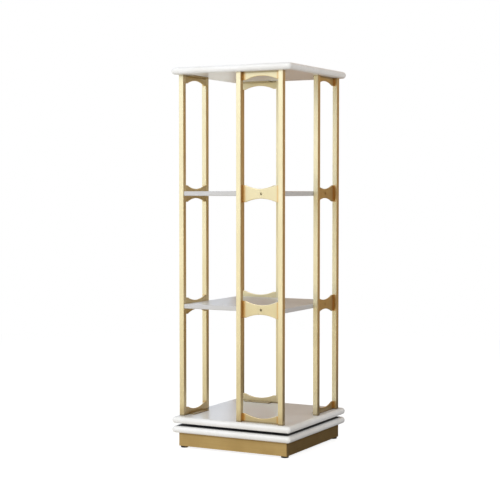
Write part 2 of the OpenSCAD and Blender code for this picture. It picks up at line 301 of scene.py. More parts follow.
def gap_face(tree, place, inset):
    """1 on the faces that look at each other across the turning gap, 0 on all the others."""
    middle, reach = (gap_low + gap_high) / 2, (gap_high - gap_low) / 2
    away = off_middle(tree, height_of(tree, place), middle)
    level = stretch(tree, away, *counted_from(reach, gap_shade_fade), 1.0, 0.0)
    inside = stretch(tree, inset, bullnose, 1.2 * bullnose, 0.0, 1.0)
    return calculate(tree, "MULTIPLY", level, inside)


def white_lacquer(name, half_width, white, cloud_white, gloss, painted_edge_shade=None):
    """Satin white lacquer on a square board. A given edge white goes on the edges as painted shade."""
    material, tree, shader, place = start_material(name)
    clouds = noise(tree, place, 7, detail=4)
    peel = noise(tree, place, 650, detail=1)
    waves = noise(tree, place, 45)
    rubs = noise(tree, scaled(tree, place, (30, 700, 60)), 1, detail=3)
    inset = rim_distance(tree, place, half_width)
    edge = stretch(tree, inset, 0.0, handled_width, 1.0, 0.0)
    # painted shade: 1 on the faces inside the turning gap, where the matt grey goes
    gap_shade_mask = gap_face(tree, place, inset)

    handled = calculate(tree, "MULTIPLY", edge, stretch(tree, clouds, 0.45, 0.75, 0.0, 0.5))
    ground = blend(tree, stretch(tree, clouds, 0.3, 0.7, 0.0, 1.0), white, cloud_white)
    ground = blend(tree, handled, ground, handled_white)
    # painted shade: a darker white along the edges, where one is given
    if painted_edge_shade is not None:
        ground = blend(tree, stretch(tree, inset, *painted_edge_depth, 1.0, 0.0), ground, painted_edge_shade)
    feed(tree, shader.inputs["Base Color"], blend(tree, gap_shade_mask, ground, gap_painted_shade))

    sheen = calculate(tree, "MULTIPLY_ADD", clouds, 0.10, gloss)
    sheen = calculate(tree, "MULTIPLY_ADD", stretch(tree, rubs, 0.55, 0.8, 0.0, 1.0), 0.05, sheen)
    sheen = calculate(tree, "MULTIPLY_ADD", edge, -0.04, sheen)
    feed(tree, shader.inputs["Roughness"], calculate(tree, "MULTIPLY_ADD", gap_shade_mask, 0.6, sheen))
    feed(tree, shader.inputs["Coat Weight"], calculate(tree, "MULTIPLY_ADD", gap_shade_mask, -0.15, 0.15))
    shader.inputs["Coat Roughness"].default_value = 0.2
    relief = bump(tree, peel, lacquer_peel)
    feed(tree, shader.inputs["Normal"], bump(tree, waves, lacquer_waves, relief))
    materials[name] = material


white_lacquer("white_board", board_half, colour(241, 241, 240), colour(237, 237, 235), gloss=0.27)
# the shelves' whites are painted shade: darker than the boards' white, darker still at the edges
painted_shade_shelf_white = colour(224, 224, 222)
painted_shade_shelf_cloud = colour(218, 218, 215)
painted_shade_shelf_edge = colour(201, 200, 199)
white_lacquer("white_shelf", shelf_half, painted_shade_shelf_white, painted_shade_shelf_cloud, gloss=0.33, painted_edge_shade=painted_shade_shelf_edge)
print("white lacquers:", sorted(materials))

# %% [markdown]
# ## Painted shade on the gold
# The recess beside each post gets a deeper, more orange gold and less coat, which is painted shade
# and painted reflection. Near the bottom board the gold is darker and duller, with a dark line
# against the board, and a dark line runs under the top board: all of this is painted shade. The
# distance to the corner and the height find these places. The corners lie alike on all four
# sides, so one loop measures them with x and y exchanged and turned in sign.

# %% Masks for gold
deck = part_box("bottom_board")[1].z
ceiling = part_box("top_board")[0].z
corner_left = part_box("front_left_post")[1].x
corner_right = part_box("front_right_post")[0].x
corner_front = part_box("front_upper_rail")[0].y
rail_heights = [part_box(f"front_{level}_rail") for level in ("bottom", "lower", "upper", "top")]
behind_factor = 4.0
# each mask of painted shade fades over a pair of distances, from a corner, a rail's edge, the deck or
# the ceiling
corner_fade = (0.002, 0.012)
rail_fade = (-0.001, 0.002)
low_shade_fade = (0.006, 0.040)
foot_fade = (0.0, 0.006)
head_fade = (-0.006, -0.002)


def corner_distance(tree, place):
    """Distance to the nearest upright corner between a post and the front of a rail. Behind
    that front the depth counts several times, so that the mask stays off the rail's back."""
    x, y = coordinates(tree, place)[:2]
    middle, half_span = (corner_left + corner_right) / 2, (corner_right - corner_left) / 2
    nearest = None
    for along, outward, side, facing in ((x, y, 1, 1), (y, x, 1, -1), (x, y, -1, -1), (y, x, -1, 1)):
        across = calculate(tree, "SUBTRACT", off_middle(tree, along, side * middle), half_span)
        ahead = calculate(tree, "MULTIPLY_ADD", outward, -facing, corner_front)
        depth = calculate(tree, "MAXIMUM", ahead, calculate(tree, "MULTIPLY", ahead, -behind_factor))
        distance = diagonal(tree, across, depth)
        nearest = calculate(tree, "MINIMUM", nearest, distance) if nearest else distance
    return nearest


def beside_a_rail(tree, height):
    """1 at the heights of the rails, 0 above and below them."""
    found = 0.0
    for low, high in rail_heights:
        away = off_middle(tree, height, (low.z + high.z) / 2)
        reach = (high.z - low.z) / 2
        level = stretch(tree, away, *counted_from(reach, rail_fade), 1.0, 0.0)
        found = calculate(tree, "MAXIMUM", level, found)
    return found


print("rails at", in_millimetres((low.z + high.z) / 2 for low, high in rail_heights), "mm")

# %% [markdown]
# ## Gold powder coat
# Posts and rails are steel with a satin champagne gold powder coat. The flakes in it mirror what
# lies around softly, so the shader is mostly metal under a clear coat. Powder melts to a fine
# orange peel and thins where it runs over a rounded rim, so the rims, marked by an attribute on
# the mesh, are brighter and smoother. The posts and the rails differ in how dense the flakes lie
# and in how dark the painted shade under the top board is.

# %% Gold powder coat
worn_gold = colour(250, 236, 196)
# painted shade low down on posts and rails, near the bottom board
low_painted_shade = colour(176, 150, 98)
# painted shade and painted reflection in the recess beside each post
painted_corner_shade = colour(212, 156, 62)
# painted shade in dark lines against the bottom board and under the top board
contact_painted_shade = colour(104, 86, 54)
powder_peel = 0.000018
powder_waves = 0.00004


def gold_powder(name, light, deep, gloss, head_shade_level):
    """Metallic powder coat: flakes, clouds, orange peel, thinner rims, painted shade by boards and in
    corners.
    """
    material, tree, shader, place = start_material(name)
    flakes = cells(tree, place, 2600)
    clouds = noise(tree, place, 9, detail=3)
    peel = noise(tree, place, 900, detail=2)
    waves = noise(tree, place, 60)
    rim = rim_mark(tree)
    height = height_of(tree, place)
    # painted shade and painted reflection: a deeper orange gold in the recess beside each post
    near = stretch(tree, corner_distance(tree, place), *corner_fade, 0.85, 0.0)
    corner = calculate(tree, "MULTIPLY", near, beside_a_rail(tree, height))
    # painted shade: darker, duller gold low down and dark lines at the bottom and top boards
    low_shade = stretch(tree, height, *counted_from(deck, low_shade_fade), 0.55, 0.0)
    foot = stretch(tree, height, *counted_from(deck, foot_fade), 0.8, 0.0)
    head = stretch(tree, height, *counted_from(ceiling, head_fade), 0.0, head_shade_level)
    contact_shade = calculate(tree, "MAXIMUM", foot, head)

    ground = blend(tree, stretch(tree, clouds, 0.3, 0.7, 0.0, 0.35), light, deep)
    ground = blend(tree, stretch(tree, flakes, 0.0, 1.0, 0.0, 0.14), ground, deep)
    worn = calculate(tree, "MULTIPLY", rim, stretch(tree, clouds, 0.3, 0.6, 0.3, 0.6))
    for mask, tint in ((worn, worn_gold), (low_shade, low_painted_shade), (corner, painted_corner_shade), (contact_shade, contact_painted_shade)):
        ground = blend(tree, mask, ground, tint)
    feed(tree, shader.inputs["Base Color"], ground)

    sheen = calculate(tree, "MULTIPLY_ADD", clouds, 0.10, gloss)
    sheen = calculate(tree, "MULTIPLY_ADD", flakes, 0.06, sheen)
    feed(tree, shader.inputs["Roughness"], calculate(tree, "MULTIPLY_ADD", rim, -0.06, sheen))
    shader.inputs["Metallic"].default_value = 0.8
    # the coat is thinner where painted shade lies
    shaded_spots = calculate(tree, "MAXIMUM", corner, contact_shade)
    feed(tree, shader.inputs["Coat Weight"], calculate(tree, "MULTIPLY_ADD", shaded_spots, -0.8, 1.0))
    shader.inputs["Coat IOR"].default_value = 1.8
    shader.inputs["Coat Roughness"].default_value = 0.3
    relief = bump(tree, peel, powder_peel)
    feed(tree, shader.inputs["Normal"], bump(tree, waves, powder_waves, relief))
    materials[name] = material


gold_powder("post_gold", colour(238, 227, 185), colour(220, 206, 156), gloss=0.30, head_shade_level=0.3)
gold_powder("rail_gold", colour(228, 216, 171), colour(210, 194, 142), gloss=0.33, head_shade_level=0.55)
print("gold:", [name for name in sorted(materials) if "gold" in name])

# %% [markdown]
# ## Plinth
# The plinth is fibreboard in a darker gold lacquer with no clear coat over it, so it mirrors
# less. The lacquer was rolled on lengthwise, which leaves faint level streaks, and just under the
# base board its upper edge is darker, which is painted shade.

# %% Plinth lacquer
plinth_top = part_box("base_board")[0].z
plinth_shade_fade = (-0.008, -0.001)
streak_relief = 0.00003
plinth_grain = 0.000015


def plinth_lacquer():
    """Darker gold lacquer with faint level streaks, a lighter worn rim and painted shade along its upper
    edge.
    """
    material, tree, shader, place = start_material("plinth_gold")
    streaks = noise(tree, scaled(tree, place, (6, 6, 380)), 1, detail=3)
    clouds = noise(tree, place, 12, detail=3)
    flakes = cells(tree, place, 2200)
    grain = noise(tree, place, 700)
    worn = calculate(tree, "MULTIPLY", rim_mark(tree), stretch(tree, clouds, 0.3, 0.6, 0.1, 0.5))
    height = height_of(tree, place)
    # painted shade just under the overhang of the base board
    contact_shade = stretch(tree, height, *counted_from(plinth_top, plinth_shade_fade), 0.0, 0.55)

    light, deep = colour(192, 168, 118), colour(170, 145, 95)
    flake_gold, worn_plinth = colour(214, 190, 132), colour(220, 196, 140)
    plinth_top_painted_shade = colour(112, 90, 54)
    ground = blend(tree, stretch(tree, clouds, 0.3, 0.7, 0.0, 0.6), light, deep)
    ground = blend(tree, stretch(tree, streaks, 0.4, 0.7, 0.0, 0.35), ground, deep)
    ground = blend(tree, calculate(tree, "MULTIPLY", flakes, 0.1), ground, flake_gold)
    ground = blend(tree, worn, ground, worn_plinth)
    feed(tree, shader.inputs["Base Color"], blend(tree, contact_shade, ground, plinth_top_painted_shade))

    feed(tree, shader.inputs["Roughness"], calculate(tree, "MULTIPLY_ADD", streaks, 0.12, 0.36))
    shader.inputs["Metallic"].default_value = 0.8
    relief = bump(tree, streaks, streak_relief)
    feed(tree, shader.inputs["Normal"], bump(tree, grain, plinth_grain, relief))
    materials["plinth_gold"] = material


plinth_lacquer()
print("plinth gold made")

# %% [markdown]
# ## Black plastics
# Feet, post plugs and the ball cage are moulded black plastic. A mould leaves a fine even grain,
# and plastic that is handled or slid over a floor turns grey in scuffs.

# %% Black plastics
mould_grain = 0.00003


def moulded_black(name, ground, scuff, gloss, grain):
    """Moulded plastic with a fine grain and paler scuffs."""
    material, tree, shader, place = start_material(name)
    speckle = noise(tree, place, grain, detail=2)
    rubs = noise(tree, scaled(tree, place, (300, 300, 80)), 1, detail=4)
    scuffs = stretch(tree, rubs, 0.55, 0.75, 0.0, 0.6)
    feed(tree, shader.inputs["Base Color"], blend(tree, scuffs, ground, scuff))
    feed(tree, shader.inputs["Roughness"], calculate(tree, "MULTIPLY_ADD", speckle, 0.2, gloss))
    feed(tree, shader.inputs["Normal"], bump(tree, speckle, mould_grain))
    materials[name] = material


moulded_black("foot_black", colour(26, 26, 27), colour(58, 57, 55), gloss=0.42, grain=1500)
moulded_black("plug_black", colour(30, 30, 31), colour(50, 50, 50), gloss=0.45, grain=1100)
moulded_black("cage_plastic", colour(38, 38, 40), colour(54, 54, 56), gloss=0.35, grain=1800)
print("finishes so far:", len(materials))

# %% [markdown]
# ## Bare wood
# The corner blocks inside the plinth are sawn from softwood. Their rings run along the block, so
# the growth rings are bands of a wave, bent by noise, and the saw leaves fine cross marks.

# %% Bare wood
saw_relief = 0.00008
fibre_relief = 0.00004


def sawn_wood():
    """Pale softwood with growth rings, fine fibres and saw marks."""
    material, tree, shader, place = start_material("block_wood")
    ring = tree.nodes.new("ShaderNodeTexWave")
    ring.bands_direction = "X"
    feed(tree, ring.inputs["Vector"], scaled(tree, place, (1, 0.8, 0.12)))
    feed(tree, ring.inputs["Scale"], 70)
    feed(tree, ring.inputs["Distortion"], 3.0)
    clouds = noise(tree, place, 30, detail=2)
    fibre = noise(tree, scaled(tree, place, (1500, 1500, 60)), 1, detail=3)
    saw = noise(tree, scaled(tree, place, (20, 20, 900)), 1, detail=1)
    early, late, fibre_brown = colour(226, 196, 148), colour(196, 152, 98), colour(176, 132, 84)
    ground = blend(tree, stretch(tree, ring.outputs["Fac"], 0.35, 0.9, 0.0, 0.8), early, late)
    ground = blend(tree, stretch(tree, fibre, 0.4, 0.7, 0.0, 0.25), ground, fibre_brown)
    feed(tree, shader.inputs["Base Color"], ground)
    feed(tree, shader.inputs["Roughness"], calculate(tree, "MULTIPLY_ADD", clouds, 0.2, 0.6))
    relief = bump(tree, saw, saw_relief)
    feed(tree, shader.inputs["Normal"], bump(tree, fibre, fibre_relief, relief))
    materials["block_wood"] = material


sawn_wood()
print("finishes so far:", len(materials))

# %% [markdown]
# ## Bare and plated metals
# The turntable rings are aluminium turned on a lathe, so their grooves are circles round the
# axis. The screws are plated, and plating clouds over with small changes of tint and gloss. The
# balls are polished, and differ from the screws only in how fine and how shiny they are.

# %% Bare and plated metals
pit_depth = 0.00001
groove_count = 16000
groove_depth = 0.000006


def plated(name, light, tint, gloss, grain):
    """Plated or polished metal with clouds of tint and fine pits."""
    material, tree, shader, place = start_material(name)
    clouds = noise(tree, place, 180, detail=3)
    pits = noise(tree, place, grain, detail=2)
    feed(tree, shader.inputs["Base Color"], blend(tree, clouds, light, tint))
    feed(tree, shader.inputs["Roughness"], calculate(tree, "MULTIPLY_ADD", pits, 0.12, gloss))
    feed(tree, shader.inputs["Normal"], bump(tree, pits, pit_depth))
    shader.inputs["Metallic"].default_value = 1.0
    materials[name] = material


def turned_aluminium():
    """Turned aluminium: grooves that follow the distance from the axis."""
    material, tree, shader, place = start_material("ring_metal")
    turned = calculate(tree, "MULTIPLY", axis_distance(tree, place), groove_count)
    groove = calculate(tree, "SINE", turned)
    clouds = noise(tree, place, 60, detail=3)
    light, dark = colour(214, 216, 219), colour(188, 190, 194)
    feed(tree, shader.inputs["Base Color"], blend(tree, clouds, light, dark))
    feed(tree, shader.inputs["Roughness"], calculate(tree, "MULTIPLY_ADD", clouds, 0.14, 0.24))
    feed(tree, shader.inputs["Normal"], bump(tree, groove, groove_depth))
    shader.inputs["Metallic"].default_value = 1.0
    materials["ring_metal"] = material


plated("screw_steel", colour(196, 198, 200), colour(172, 172, 160), gloss=0.28, grain=2500)
plated("screw_gold", colour(250, 232, 186), colour(232, 208, 156), gloss=0.34, grain=2500)
plated("ball_steel", colour(222, 223, 226), colour(206, 208, 212), gloss=0.08, grain=3500)
turned_aluminium()
print("finishes:", sorted(materials))

# %% [markdown]
# ## Dress the construction
# Boards, shelves, screws, blocks and the turntable have their true shape in the construction, so
# they stay and take their finish. The slot name of each one is already the name of its finish.

# %% Finishes on the construction
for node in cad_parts.values():
    for place_of_finish in node.material_slots:
        place_of_finish.material = materials[place_of_finish.material.name.split(".")[0]]
print("dressed:", len(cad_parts), "pieces of the construction")

# %% [markdown]
# ## Helpers for new pieces
# Posts, rails and plinth boards get new meshes, because light shows their rounded rims. A new
# piece is built for the front side, turned to its own side, and handed over with its place in
# its mesh. Weighted normals keep the flat faces flat beside their small rounds.

# %% Helpers for shapes
side_names = ["front", "right", "back", "left"]
rim_segments = 4
sharp_turn = math.radians(40)
nearly_all = 0.99
merge_distance = 0.00001


def start_mesh():
    """An empty bmesh whose vertices can be marked as part of a rounded rim."""
    bm = bmesh.new()
    bm.verts.layers.float.new(rim_attribute)
    return bm


def block(low, high):
    """A block between two corners."""
    bm = start_mesh()
    bmesh.ops.create_cube(bm, size=1)
    bmesh.ops.scale(bm, vec=high - low, verts=bm.verts)
    bmesh.ops.translate(bm, vec=(low + high) / 2, verts=bm.verts)
    return bm


def is_upright(edge):
    """True for an edge that runs along Z."""
    first, second = (vert.co for vert in edge.verts)
    return abs(first.z - second.z) > nearly_all * edge.calc_length()


def is_smooth(edge):
    """True for an edge where the surface turns little."""
    return len(edge.link_faces) == 2 and edge.calc_face_angle() < sharp_turn


def is_sharp(edge):
    """True for an edge where the surface turns sharply."""
    return len(edge.link_faces) == 2 and edge.calc_face_angle() > sharp_turn


def round_edges(bm, edges, radius, segments=rim_segments):
    """Rounds edges and marks the new rounds as a rim."""
    made = bmesh.ops.bevel(
        bm,
        geom=edges,
        offset=radius,
        offset_type="OFFSET",
        affect="EDGES",
        segments=segments,
        profile=0.5,
        material=-1,
        clamp_overlap=True,
    )
    rounds = set(made["faces"])
    rim = bm.verts.layers.float[rim_attribute]
    for vert in made["verts"]:
        if all(face in rounds for face in vert.link_faces):
            vert[rim] = 1.0


# %% Helpers for objects
def make_object(bm, name, material):
    """Makes a finished bmesh an object with one material."""
    mesh = bpy.data.meshes.new(name)
    bm.to_mesh(mesh)
    bm.free()
    mesh.materials.append(material)
    made = bpy.data.objects.new(name, mesh)
    bpy.context.scene.collection.objects.link(made)
    return made


def place_piece(bm, name, slot, side=0):
    """Turns a finished bmesh to its side and makes it an object with its finish."""
    turn = Matrix.Rotation(side * quarter_turn, 3, "Z")
    bmesh.ops.rotate(bm, cent=(0, 0, 0), matrix=turn, verts=bm.verts)
    bmesh.ops.recalc_face_normals(bm, faces=bm.faces)
    for face in bm.faces:
        face.smooth = True
    for edge in bm.edges:
        edge.smooth = is_smooth(edge)
    piece = make_object(bm, name, materials[slot])
    shading = piece.modifiers.new("even_shading", "WEIGHTED_NORMAL")
    shading.keep_sharp = True
    return piece


# %% [markdown]
# ## Posts
# A post is a square steel tube with softly rounded corners. It starts as a block, its four
# upright edges are rounded, its ends are opened and the skin gets the wall of the tube.

# %% Posts
post_corner = 0.0015
post_wall = 0.0012


def make_post(name):
    """A square tube that fills the box of its node."""
    low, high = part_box(name)
    bm = block(low, high)
    round_edges(bm, [edge for edge in bm.edges if is_upright(edge)], post_corner, segments=6)
    ends = [face for face in bm.faces if abs(face.normal.z) > 0.9]
    bmesh.ops.delete(bm, geom=ends, context="FACES")
    bmesh.ops.solidify(bm, geom=bm.faces[:], thickness=post_wall)
    piece = place_piece(bm, name + "_tube", "post_gold")
    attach(piece, "carousel")
    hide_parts(name)
    return piece


for side_name in side_names:
    for hand in ("left", "right"):
        post = make_post(f"{side_name}_{hand}_post")
print("posts:", 2 * len(side_names), "size of the last:", in_millimetres(post.dimensions), "mm")

# %% [markdown]
# ## Rails
# A rail is a plate, cut so that its free edges rise in flat arches with a short shoulder at each
# post. It could be cut out of a slab, but a grid whose rows are pulled to the arches keeps clean
# strips of faces. A hole is a corner of the grid, opened and pushed out to a circle.

# %% Rail sizes
plate_front, plate_back = (corner.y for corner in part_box("front_upper_rail"))
panel_middle = (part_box("front_left_post")[0].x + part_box("front_right_post")[1].x) / 2
rail_span = corner_right - corner_left
arch_rise = 0.0095
arch_shoulder = 0.009
arch_half = rail_span / 2 - arch_shoulder
arch_radius = (arch_half**2 + arch_rise**2) / (2 * arch_rise)
arch_columns = 25
rail_rim = 0.0014
hole_segments = 6
screw_hole = 0.0021
screw_sink = 0.0014
print("rail span and arch radius:", in_millimetres([rail_span, arch_radius]), "mm")


# %% Helpers for arches
def column_place(column):
    """Where a column of the rail's grid stands: one at each post, the others along the arch."""
    if column == 0:
        return -rail_span / 2
    if column == arch_columns + 1:
        return rail_span / 2
    return arch_half * (2 * (column - 1) / (arch_columns - 1) - 1)


def arch_depth(across):
    """How far the arched edge has fallen from its crown, at a distance from the middle."""
    inside = min(abs(across), arch_half)
    return arch_radius - math.sqrt(arch_radius**2 - inside**2)


def round_arches(bm, height, reach):
    """Rounds the sharp edges that lie further than reach from a height, but not at the posts."""
    ends = rail_span / 2 - merge_distance
    rims = [
        edge
        for edge in bm.edges
        if is_sharp(edge)
        and abs(edge.verts[0].co.z - height) > reach
        and min(abs(vert.co.x - panel_middle) for vert in edge.verts) < ends
    ]
    round_edges(bm, rims, rail_rim)


# %% Helpers for sheets with holes
def grid_sheet(columns, rows, place_of):
    """A flat sheet with a vertex at each column and row, each put where place_of says."""
    bm = start_mesh()
    bmesh.ops.create_grid(bm, x_segments=columns - 1, y_segments=rows - 1, size=0.5)
    for vert in bm.verts:
        column = round((vert.co.x + 0.5) * (columns - 1))
        row = round((vert.co.y + 0.5) * (rows - 1))
        vert.co = place_of(column, row)
    return bm


def open_hole(bm, centre, radius):
    """Opens a round hole at the vertex of a sheet that lies at a point."""
    vert = min(bm.verts, key=lambda near: (near.co - centre).length)
    made = bmesh.ops.bevel(
        bm,
        geom=[vert],
        offset=radius,
        offset_type="OFFSET",
        affect="VERTICES",
        segments=hole_segments,
        profile=0.5,
        material=-1,
    )
    for point in made["verts"]:
        point.co = centre + radius * (point.co - centre).normalized()
    lid = min(bm.faces, key=lambda face: (face.calc_center_median() - centre).length)
    bmesh.ops.delete(bm, geom=[lid], context="FACES_ONLY")


def thicken(bm, step):
    """Gives a sheet its thickness along a step."""
    made = bmesh.ops.extrude_face_region(bm, geom=bm.faces[:])
    moved = [part for part in made["geom"] if isinstance(part, bmesh.types.BMVert)]
    bmesh.ops.translate(bm, vec=step, verts=moved)
    bmesh.ops.recalc_face_normals(bm, faces=bm.faces)


def lies_near(edge, centre, reach):
    """True if both ends of an edge lie near a point."""
    return all((vert.co - centre).length < reach for vert in edge.verts)


def sink_hole(bm, centre):
    """Cuts the cone for a screw head round the mouth of a hole."""
    mouth = [edge for edge in bm.edges if lies_near(edge, centre, screw_hole + merge_distance)]
    round_edges(bm, mouth, screw_sink, segments=1)


# %% Shelf rails
def make_shelf_rail(side, name):
    """A plate with both edges arched and a sunk hole in its middle for the shelf screw."""
    low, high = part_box(name)
    middle = (low.z + high.z) / 2
    centre_height = (high.z - low.z) - 2 * arch_rise

    def place_of(column, row):
        across = column_place(column)
        half = centre_height / 2 + arch_depth(across)
        return Vector((panel_middle + across, plate_front, middle + (row - 1) * half))

    bm = grid_sheet(arch_columns + 2, 3, place_of)
    hole = Vector((panel_middle, plate_front, middle))
    open_hole(bm, hole, screw_hole)
    thicken(bm, Vector((0, plate_back - plate_front, 0)))
    round_arches(bm, middle, centre_height / 4)
    sink_hole(bm, hole)
    piece = place_piece(bm, name + "_plate", "rail_gold", side)
    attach(piece, "carousel")
    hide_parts(name)
    return piece


for side, side_name in enumerate(side_names):
    for level in ("upper", "lower"):
        rail = make_shelf_rail(side, f"{side_name}_{level}_rail")
print("shelf rails:", 2 * len(side_names), "faces of the last:", len(rail.data.polygons))

# %% [markdown]
# ## Top and bottom rails
# These rails lie against a board with one straight edge. Behind it a tab with two screws is
# welded on, which holds the board. The bottom rail is the top rail turned over.

# %% Tabs
tab_length = 0.080
tab_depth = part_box("front_top_rail")[1].y - plate_back
tab_thickness = 0.003
tab_corner = 0.004
tab_screw_spacing = 0.052
tab_rim = 0.0005


def round_tab_corners(tab):
    """Rounds the two corners of a flat tab that are furthest from its rail."""
    far_corners = [
        vert
        for vert in tab.verts
        if vert.co.y > plate_back + nearly_all * tab_depth
        and abs(vert.co.x - panel_middle) > nearly_all * tab_length / 2
    ]
    bmesh.ops.bevel(
        tab,
        geom=far_corners,
        offset=tab_corner,
        offset_type="OFFSET",
        affect="VERTICES",
        segments=6,
        profile=0.5,
        material=-1,
    )


def join_mesh(bm, other):
    """Adds the mesh of another bmesh, which is freed."""
    spare = bpy.data.meshes.new("spare")
    other.to_mesh(spare)
    other.free()
    bm.from_mesh(spare)
    bpy.data.meshes.remove(spare)


def add_tab(bm, board_face, down):
    """Adds the screwed tab behind a rail. down is -1 under a board and 1 on top of one."""
    columns = [-tab_length / 2, -tab_screw_spacing / 2, 0, tab_screw_spacing / 2, tab_length / 2]
    face = board_face + down * tab_thickness

    def place_of(column, row):
        return Vector((panel_middle + columns[column], plate_back + row * tab_depth / 2, face))

    tab = grid_sheet(len(columns), 3, place_of)
    holes = [Vector((panel_middle + columns[i], plate_back + tab_depth / 2, face)) for i in (1, 3)]
    for hole in holes:
        open_hole(tab, hole, screw_hole)
    round_tab_corners(tab)
    thicken(tab, Vector((0, 0, -down * tab_thickness)))
    for hole in holes:
        sink_hole(tab, hole)
    outline = [
        edge
        for edge in tab.edges
        if is_sharp(edge)
        and all(abs(vert.co.z - face) < merge_distance for vert in edge.verts)
        and not any(lies_near(edge, hole, 2 * screw_hole) for hole in holes)
        and max(vert.co.y for vert in edge.verts) > plate_back + merge_distance
    ]
    round_edges(tab, outline, tab_rim, segments=2)
    join_mesh(bm, tab)


# %% Top and bottom rails
def make_end_rail(side, name, down):
    """A plate with one arched edge and a tab. down is -1 under a board and 1 on top of one."""
    low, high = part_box(name)
    board_face = high.z if down < 0 else low.z
    centre_height = (high.z - low.z) - arch_rise

    def place_of(column, row):
        across = column_place(column)
        height = centre_height + arch_depth(across)
        return Vector((panel_middle + across, plate_front, board_face + down * row * height / 2))

    bm = grid_sheet(arch_columns + 2, 3, place_of)
    thicken(bm, Vector((0, plate_back - plate_front, 0)))
    round_arches(bm, board_face, centre_height / 2)
    add_tab(bm, board_face, down)
    piece = place_piece(bm, name + "_plate", "rail_gold", side)
    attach(piece, "carousel")
    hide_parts(name)
    return piece


for side, side_name in enumerate(side_names):
    make_end_rail(side, f"{side_name}_top_rail", -1)
    rail = make_end_rail(side, f"{side_name}_bottom_rail", 1)
print("end rails:", 2 * len(side_names), "faces of the last:", len(rail.data.polygons))

# %% [markdown]
# ## Welds
# Each rail end is welded to its post. In front the bead lies in the corner between them. Behind,
# the faces are level, so a thinner bead fills the groove that the post's rounded corner leaves.
# Under the powder a bead is a row of soft ripples. A short rod does it: it is cut into rings,
# and the rings swell and shrink in turn.

# %% Welds
front_bead = 0.0013
front_bead_offset = 0.0002
back_bead = 0.0009
back_bead_inset = 0.0003
back_bead_depth = 0.0011
bead_sides = 10
bead_ripple = 0.0032
ripple_steps = 4
bead_swell = 0.16
bead_end = 0.002


def add_bead(bm, place, radius, low, high):
    """Adds one rippled bead between two heights."""
    x, y = place
    steps = ripple_steps * round((high - low) / bead_ripple)
    made = bmesh.ops.create_cone(
        bm,
        cap_ends=True,
        cap_tris=False,
        segments=bead_sides,
        radius1=radius,
        radius2=radius,
        depth=high - low,
    )
    rod = made["verts"]
    bmesh.ops.translate(bm, vec=(x, y, (low + high) / 2), verts=rod)
    long_edges = {edge for vert in rod for edge in vert.link_edges if is_upright(edge)}
    cut = bmesh.ops.subdivide_edges(bm, edges=list(long_edges), cuts=steps - 1, use_grid_fill=True)
    rings = {part for part in cut["geom_inner"] if isinstance(part, bmesh.types.BMVert)}
    for vert in rings:
        step = round((vert.co.z - low) / (high - low) * steps)
        swell = 1 + bead_swell * math.sin(step * math.tau / ripple_steps)
        vert.co.x = x + (vert.co.x - x) * swell
        vert.co.y = y + (vert.co.y - y) * swell


def make_welds(side, side_name):
    """All the beads of one panel as one piece."""
    bm = start_mesh()
    for level in ("top", "upper", "lower", "bottom"):
        low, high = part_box(f"{side_name}_{level}_rail")
        span = low.z + bead_end, high.z - bead_end
        for post_face, inward in ((corner_left, 1), (corner_right, -1)):
            front = post_face + inward * front_bead_offset, plate_front + front_bead_offset
            back = post_face - inward * back_bead_inset, plate_back - back_bead_depth
            add_bead(bm, front, front_bead, *span)
            add_bead(bm, back, back_bead, *span)
    piece = place_piece(bm, f"{side_name}_welds", "rail_gold", side)
    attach(piece, "carousel")
    return piece


for side, side_name in enumerate(side_names):
    welds = make_welds(side, side_name)
print("weld faces on one panel:", len(welds.data.polygons))

# %% [markdown]
# ## Plinth boards
# A plinth board is a plain strip with mitred ends, which the construction already has. A copy of
# its mesh is merged into clean faces, and its long edges and its mitres are eased a little, so
# that light catches the edges and a hairline shows where two boards meet.

# %% Plinth boards
plinth_ease = 0.0008
mitre_ease = 0.00018


def make_plinth_board(name):
    """A merged copy of a plinth board with eased edges."""
    bm = start_mesh()
    bm.from_mesh(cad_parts[name].data)
    bmesh.ops.remove_doubles(bm, verts=bm.verts, dist=merge_distance)
    bmesh.ops.dissolve_limit(bm, angle_limit=0.01, verts=bm.verts, edges=bm.edges)
    sharp = [edge for edge in bm.edges if is_sharp(edge)]
    round_edges(bm, [edge for edge in sharp if not is_upright(edge)], plinth_ease, segments=3)
    seams = [edge for edge in bm.edges if is_upright(edge) and is_sharp(edge)]
    round_edges(bm, seams, mitre_ease, segments=1)
    piece = place_piece(bm, name + "_board", "plinth_gold")
    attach(piece, "base")
    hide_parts(name)
    return piece


for side_name in side_names:
    plinth = make_plinth_board("plinth_" + side_name)
print("plinth boards:", len(side_names), "faces of the last:", len(plinth.data.polygons))

# %% [markdown]
# ## Floor and world
# The bookshelf stands on a seamless white floor. The floor and the world look plain white to the
# camera, by the kind of ray that asks, and not by more light on the object. In reflections the
# floor is warm and dim near the object, with a paler pool round the plinth, and nearly white far
# out, under a cooler white world, which shades the gold from top to bottom. Light that bounces
# off the floor finds it paler than the camera does, so the undersides aren't gloomy. Far out the
# camera sees only the floor's own light, so the bright floor under a lamp doesn't eat the
# object's outline.

# %% Kinds of ray
def rays(tree, *kinds):
    """1 for rays of the named kinds, 0 for the others."""
    path = tree.nodes.new("ShaderNodeLightPath")
    seen = path.outputs[kinds[0]]
    for kind in kinds[1:]:
        seen = calculate(tree, "MAXIMUM", seen, path.outputs[kind])
    return seen


# %% Floor
floor_radius = 14
floor_clouds = (0.36, 0.36, 0.36, 1), (0.42, 0.42, 0.42, 1)
bounced_floor = (0.60, 0.59, 0.58, 1)
mirrored_floor = (0.42, 0.34, 0.20, 1)
near_warmth, far_warmth = (1.0, 0.83, 0.49, 1), (1.0, 0.97, 0.86, 1)
mirror_reach = (0.3, 3.5)
mirror_levels = (0.14, 0.9)
pool_reach = (0.35, 0.6)
pool_level = 0.3
lit_reach = (1.5, 2.8)
own_level = 0.84


